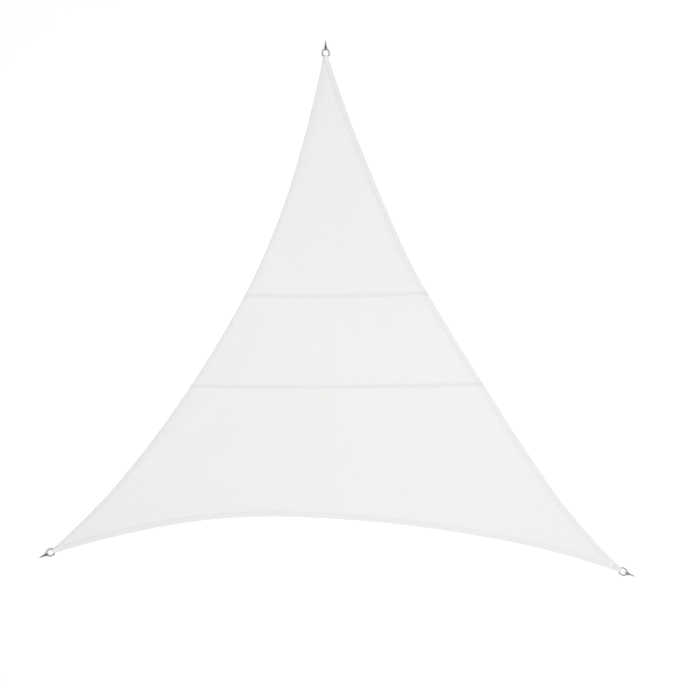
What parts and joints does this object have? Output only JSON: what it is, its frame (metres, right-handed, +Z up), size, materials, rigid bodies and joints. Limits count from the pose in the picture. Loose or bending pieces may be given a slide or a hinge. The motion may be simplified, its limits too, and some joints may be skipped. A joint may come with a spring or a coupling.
{
  "type": "shade sail with corner pegs",
  "caption": "Triangular woven shade sail with inward-bowed hemmed edges, lapped panel seams, and at each corner a webbing tab, a steel D-ring and a tapered steel peg.",
  "frame": {"origin": "on the ground, under the middle of the whole sail with its fittings", "axes": "+X to the right along the foot of the sail, +Y towards its top corner, +Z up from the ground, with the sail laid out flat and face up"},
  "size_m": [3.6954, 3.3252, 0.0136],
  "materials": {
    "sail_cloth": "plain-woven polyester, off-white",
    "webbing": "ribbed polyester webbing, off-white",
    "ring_steel": "polished bent wire",
    "peg_steel": "drawn rod, dull"
  },
  "bodies": {
    "root": {"panel_top": "sail_cloth", "panel_middle": "sail_cloth", "panel_foot": "sail_cloth", "tab_top": "webbing", "tab_left": "webbing", "tab_right": "webbing", "ring_top": "ring_steel", "ring_left": "ring_steel", "ring_right": "ring_steel", "peg_top": "peg_steel", "peg_left": "peg_steel", "peg_right": "peg_steel"}
  },
  "joints": []
}
